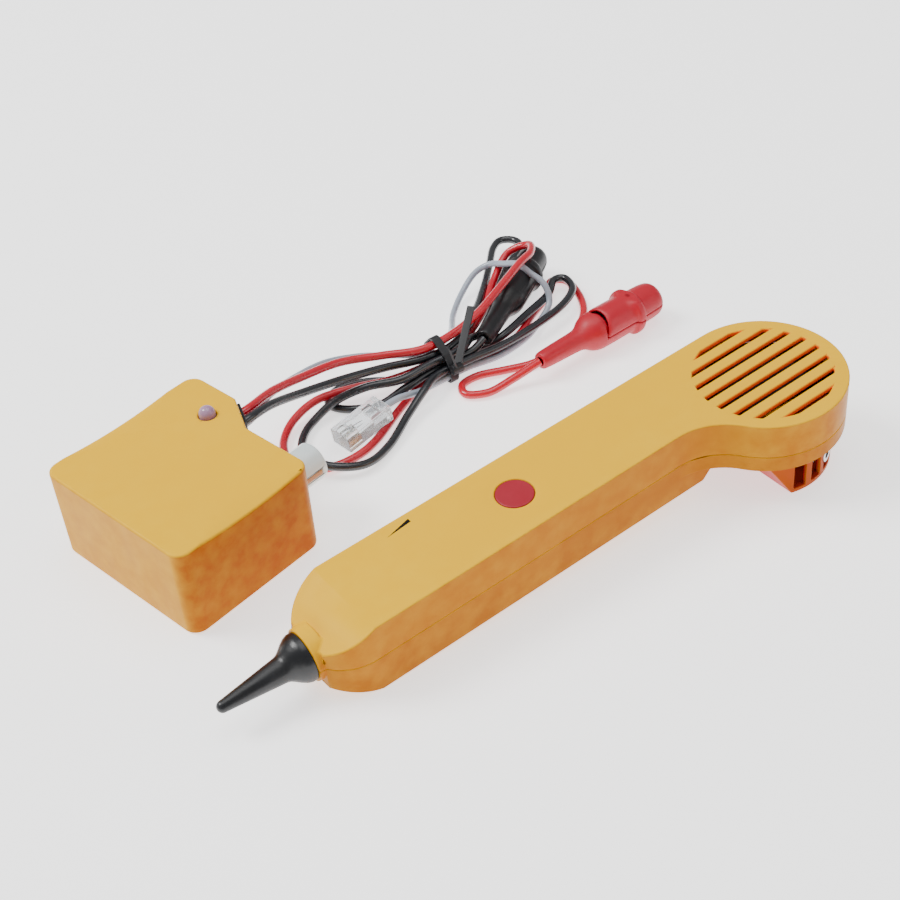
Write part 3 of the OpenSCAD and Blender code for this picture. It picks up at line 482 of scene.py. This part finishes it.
# Radius of the boot along its length, in mm
BOOT = [(0, 2.9), (0.4, 3.3), (2, 3.55), (8, 3.8), (15, 4.0), (19.5, 4.25), (22, 4.9), (24, 5.8),
        (26, 6.5), (28, 6.8), (34, 6.85), (40, 6.8), (43.4, 6.75), (44.2, 7.2), (44.8, 8.0), (45.5, 8.25),
        (47.2, 8.25), (48, 7.9), (48.6, 7.0), (49.3, 6.5), (52, 6.4), (56, 6.3), (58.6, 6.05), (60.2, 5.4),
        (61.3, 4.2), (61.9, 2.2), (62, 0.5)]
ROUND = (0.0, 2 * math.pi)
UNDER = (math.pi, 2 * math.pi)
OVER = (PARTING, math.pi - PARTING)


def boot_r(x, stout):
    """Radius at x; the barrel, between its shoulder and its nose, is stouter than the tail."""
    share = max(0.0, min(1.0, (x - SHOULDER_X) / SHOULDER_L, (NOSE_X - x) / NOSE_L))
    grown = 1 + (stout - 1) * share
    for (x0, r0), (x1, r1) in zip(BOOT, BOOT[1:]):
        if x <= x1:
            return grown * (r0 + (r1 - r0) * (x - x0) / (x1 - x0))
    return BOOT[-1][1]


def boot_point(x, turn, inset, stout):
    """A point on the boot, which is flat where it meets the table."""
    r = max(boot_r(x, stout) - inset, LEAST_R)
    return (x, r * math.cos(turn), max(-FLAT, min(FLAT, r * math.sin(turn))))


def rows_along(x0, x1):
    """The places of the profile's points from x0 to x1, and halfway between them."""
    xs = sorted({x for x, _ in BOOT if x0 < x < x1} | {x0, x1})
    return [x for a, b in zip(xs, xs[1:]) for x in (a, a + (b - a) / 2)] + [x1]


def turns_around(span):
    """The angles of the columns: a full turn closes on itself, and a half one keeps both its ends."""
    whole = span == ROUND
    count = 56 if whole else 29
    gaps = count if whole else count - 1
    return [span[0] + (span[1] - span[0]) * j / gaps for j in range(count)]


def boot_layer(bm, xs, turns, inset, stout, slanted):
    """The vertices of one face of the wall; the moving half starts on a slope, so that it can swing back."""
    x0, x1 = xs[0], xs[-1]
    starts = [x0] * len(turns)
    if slanted:
        slope = math.tan(rad(OPENS + 2))
        starts = [x0 + slope * max(0.0, boot_point(x0, t, 0.0, stout)[2]) for t in turns]
    grid = []
    for x in xs:
        share = (x - x0) / (x1 - x0)
        places = [start + (x1 - start) * share if slanted else x for start in starts]
        grid.append([bm.verts.new(boot_point(at, t, inset, stout)) for at, t in zip(places, turns)])
    return grid


def clip_piece(name, clip, x0, x1, span, finish, node, body="generator", slanted=False, sunk=0.0):
    """A wall of the boot from x0 to x1 over a span of turns, with its inner face and its edges closed."""
    at, yaw, rolled, stout = clip
    xs, turns = rows_along(x0, x1), turns_around(span)
    bm = bmesh.new()
    outer, inner = (boot_layer(bm, xs, turns, inset, stout, slanted) for inset in (sunk, sunk + SKIN))
    rows, cols = len(xs), len(turns)
    strips = cols if span == ROUND else cols - 1
    for grid, way in ((outer, 1), (inner, -1)):
        for i in range(rows - 1):
            for j in range(strips):
                k = (j + 1) % cols
                bm.faces.new((grid[i][j], grid[i][k], grid[i + 1][k], grid[i + 1][j])[::way])
    for i in (0, rows - 1):
        for j in range(strips):
            k = (j + 1) % cols
            bm.faces.new((outer[i][j], outer[i][k], inner[i][k], inner[i][j]))
    if strips < cols:
        for j in (0, cols - 1):
            for i in range(rows - 1):
                bm.faces.new((outer[i][j], outer[i + 1][j], inner[i + 1][j], inner[i][j]))
    bmesh.ops.recalc_face_normals(bm, faces=bm.faces)
    mesh = bpy.data.meshes.new(name)
    bm.to_mesh(mesh)
    bm.free()
    for p in mesh.polygons:
        p.use_smooth = True
    turn = Matrix.Rotation(rad(yaw), 4, "Z") @ (Matrix.Rotation(math.pi, 4, "X") if rolled else Matrix())
    mesh.transform(Matrix.Translation(at) @ turn)
    mesh.transform(Matrix.Scale(MM, 4))
    mesh.materials.append(finish)
    obj = bpy.data.objects.new(name, mesh)
    bpy.context.scene.collection.objects.link(obj)
    smooth = obj.modifiers.new("smooth", "SUBSURF")
    smooth.levels = smooth.render_levels = 1
    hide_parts(node)
    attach(obj, body)
    return obj


def boots(color, clip, finish):
    """The fixed half, the tail, the sleeve under the gap that the moving half swings into, and that half."""
    fixed = color + "_boot"
    lower = clip_piece(fixed + "_lower", clip, FIXED_X, NOSE_X, UNDER, finish, fixed)
    tail = clip_piece(fixed + "_tail", clip, 0.0, TAIL_X, ROUND, finish, fixed)
    neck = clip_piece(fixed + "_neck", clip, SLEEVE_X0, SLEEVE_X1, ROUND, finish, fixed, sunk=SLEEVE_SUNK)
    upper = clip_piece(fixed + "_upper", clip, MOVING_X, NOSE_X, OVER, finish, fixed + "_top",
                       color + "_clip_jaw", slanted=True)
    return [lower, tail, neck, upper]


black_boot = boots("black", BLACK_CLIP, BLACK_RUBBER)
red_boot = boots("red", RED_CLIP, RED_RUBBER)


def on_cord(points):
    """Work out the length along the cord's smooth curve; nothing is kept of it."""
    length_of(points)


on_cord(BLACK_ROUTE)
on_cord(RED_ROUTE)
on_cord(LINE_ROUTE)

# ---------------------------------------------------------------- floor and light


# The floor: half its side, how far it lies under the model, and how much light it gives
FLOOR_HALF, FLOOR_DROP, FLOOR_GLOW = 3.0, 0.0002, 1.3
# What the lights point at
LIT = Vector((0, 0, 0.01))


def floor():
    """White paper that glows a little, as a lit table does."""
    bm = bmesh.new()
    bmesh.ops.create_grid(bm, x_segments=8, y_segments=8, size=FLOOR_HALF)
    mesh = bpy.data.meshes.new("floor")
    bm.to_mesh(mesh)
    bm.free()
    m = Nodes("floor_paper")
    cloud = m.ramp(m.noise(9, 3), 0.3, 0.7, 0.0, 0.4)
    m.put(m.bsdf.inputs["Base Color"], m.mix(cloud, (0.93, 0.93, 0.93, 1), (0.90, 0.90, 0.905, 1)))
    m.put(m.bsdf.inputs["Roughness"], m.ramp(m.noise(60, 3), 0.3, 0.7, 0.55, 0.7))
    m.put(m.bsdf.inputs["Normal"], m.bump(m.noise(900, 3), 0.05, 0.0002))
    m.bsdf.inputs["Emission Color"].default_value = (1, 1, 1, 1)
    m.bsdf.inputs["Emission Strength"].default_value = FLOOR_GLOW
    mesh.materials.append(m.mat)
    obj = bpy.data.objects.new("floor", mesh)
    obj.location.z = -FLOOR_DROP
    bpy.context.scene.collection.objects.link(obj)


def area(name, where, size, watts):
    """A round soft light that faces the model."""
    data = bpy.data.lights.new(name, "AREA")
    data.shape = "DISK"
    data.size = size
    data.energy = watts
    obj = bpy.data.objects.new(name, data)
    obj.location = where
    obj.rotation_euler = (LIT - Vector(where)).to_track_quat("-Z", "Y").to_euler()
    bpy.context.scene.collection.objects.link(obj)


floor()
area("key", (-0.9, 0.9, 1.5), 0.9, 34)
area("top", (0.2, 0.1, 1.6), 1.2, 10)
area("fill", (0.9, -1.1, 0.7), 0.9, 3)
world = bpy.data.worlds.new("studio")
bpy.context.scene.world = world
world.use_nodes = True
sky = world.node_tree.nodes["Background"].inputs
sky["Color"].default_value = (1.0, 1.0, 1.0, 1)
sky["Strength"].default_value = 0.45
